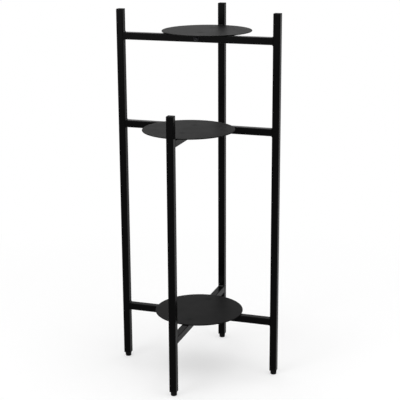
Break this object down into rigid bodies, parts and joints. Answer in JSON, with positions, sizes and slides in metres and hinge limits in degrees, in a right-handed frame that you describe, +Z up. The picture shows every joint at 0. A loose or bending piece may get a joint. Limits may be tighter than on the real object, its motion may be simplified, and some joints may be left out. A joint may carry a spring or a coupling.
{
  "type": "plant stand",
  "caption": "Tall square-tube metal plant stand with round flat plates at stepped heights, a short front leg and screw-in levelling feet.",
  "frame": {"origin": "on the floor under the middle of the stand, where the rails cross", "axes": "+Z up, +X from the left leg to the right leg, +Y from the short front leg to the back leg"},
  "size_m": [0.376, 0.376, 0.828],
  "materials": {
    "black_powder_coat": "fine satin black powder coat",
    "black_plastic": "moulded matte black",
    "blackened_steel": "black oxide, lightly oiled",
    "zinc_plated_steel": "bright zinc plate"
  },
  "bodies": {
    "stand": {"left_leg": "black_powder_coat", "right_leg": "black_powder_coat", "back_leg": "black_powder_coat", "front_leg": "black_powder_coat", "top_rail": "black_powder_coat", "middle_rail": "black_powder_coat", "bottom_rail": "black_powder_coat", "top_strut": "black_powder_coat", "middle_strut": "black_powder_coat", "bottom_bar": "black_powder_coat", "top_plate": "black_powder_coat", "middle_plate": "black_powder_coat", "bottom_plate": "black_powder_coat", "ladder_frame_welds": "black_powder_coat", "crossing_frame_welds": "black_powder_coat", "plate_tack_welds": "black_powder_coat", "left_leg_cap": "black_plastic", "right_leg_cap": "black_plastic", "back_leg_cap": "black_plastic", "front_leg_cap": "black_plastic", "left_foot_insert": "black_plastic", "right_foot_insert": "black_plastic", "back_foot_insert": "black_plastic", "front_foot_insert": "black_plastic", "top_strut_bolt": "blackened_steel", "middle_strut_bolt": "blackened_steel", "cross_bolt": "blackened_steel", "bolt_washers": "blackened_steel", "top_strut_plug": "zinc_plated_steel", "middle_strut_plug": "zinc_plated_steel", "cross_nut": "zinc_plated_steel", "foot_nuts": "zinc_plated_steel"},
    "left_foot": {"left_foot_glide": "black_plastic"},
    "left_screw": {"left_foot_screw": "zinc_plated_steel"},
    "right_foot": {"right_foot_glide": "black_plastic"},
    "right_screw": {"right_foot_screw": "zinc_plated_steel"},
    "back_foot": {"back_foot_glide": "black_plastic"},
    "back_screw": {"back_foot_screw": "zinc_plated_steel"},
    "front_foot": {"front_foot_glide": "black_plastic"},
    "front_screw": {"front_foot_screw": "zinc_plated_steel"}
  },
  "joints": [
    {"name": "left_foot_travel", "type": "slide", "parent": "stand", "child": "left_foot", "axis": [0, 0, -1], "range_m": [0, 0.008]},
    {"name": "left_screw_turn", "type": "hinge", "parent": "left_foot", "child": "left_screw", "pos_m": [-0.18, 0, 0], "axis": [0, 0, -1], "range_deg": [0, 2880]},
    {"name": "right_foot_travel", "type": "slide", "parent": "stand", "child": "right_foot", "axis": [0, 0, -1], "range_m": [0, 0.008]},
    {"name": "right_screw_turn", "type": "hinge", "parent": "right_foot", "child": "right_screw", "pos_m": [0.18, 0, 0], "axis": [0, 0, -1], "range_deg": [0, 2880]},
    {"name": "back_foot_travel", "type": "slide", "parent": "stand", "child": "back_foot", "axis": [0, 0, -1], "range_m": [0, 0.008]},
    {"name": "back_screw_turn", "type": "hinge", "parent": "back_foot", "child": "back_screw", "pos_m": [0, 0.18, 0], "axis": [0, 0, -1], "range_deg": [0, 2880]},
    {"name": "front_foot_travel", "type": "slide", "parent": "stand", "child": "front_foot", "axis": [0, 0, -1], "range_m": [0, 0.008]},
    {"name": "front_screw_turn", "type": "hinge", "parent": "front_foot", "child": "front_screw", "pos_m": [0, -0.18, 0], "axis": [0, 0, -1], "range_deg": [0, 2880]}
  ],
  "couplings": [
    {"joint": "left_screw_turn", "follows": "left_foot_travel", "rad_per_m": 6283.2},
    {"joint": "right_screw_turn", "follows": "right_foot_travel", "rad_per_m": 6283.2},
    {"joint": "back_screw_turn", "follows": "back_foot_travel", "rad_per_m": 6283.2},
    {"joint": "front_screw_turn", "follows": "front_foot_travel", "rad_per_m": 6283.2}
  ]
}
